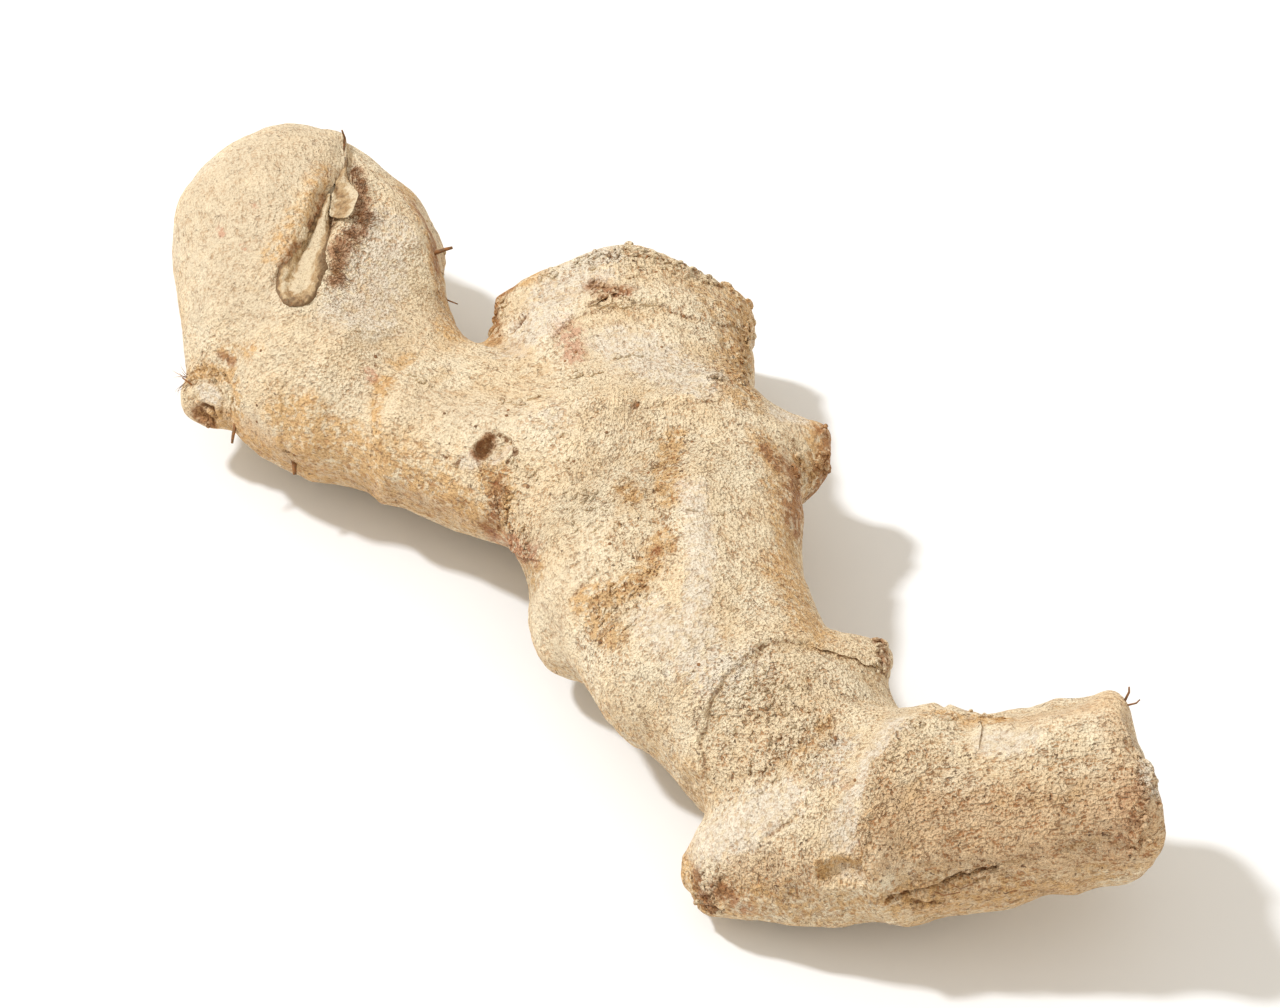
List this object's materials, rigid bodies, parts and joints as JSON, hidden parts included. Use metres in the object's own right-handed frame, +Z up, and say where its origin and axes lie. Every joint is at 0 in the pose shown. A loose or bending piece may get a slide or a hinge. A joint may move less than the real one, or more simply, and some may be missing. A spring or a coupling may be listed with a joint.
{
  "type": "ginger root",
  "caption": "Fresh ginger rhizome lying flat: a thick knobbly trunk with a broken stub, an arm ending in a round lobe, and a finger that turns to one side.",
  "frame": {"origin": "centre of the bounding box, at its bottom, on the surface that the root rests on", "axes": "+Z up from that surface, +X the way the finger points, +Y from the finger's end of the trunk towards its broken stub"},
  "size_m": [0.1414, 0.1478, 0.0345],
  "materials": {
    "skin": "matte"
  },
  "bodies": {
    "root": {"ginger_rhizome": "skin"}
  },
  "joints": []
}
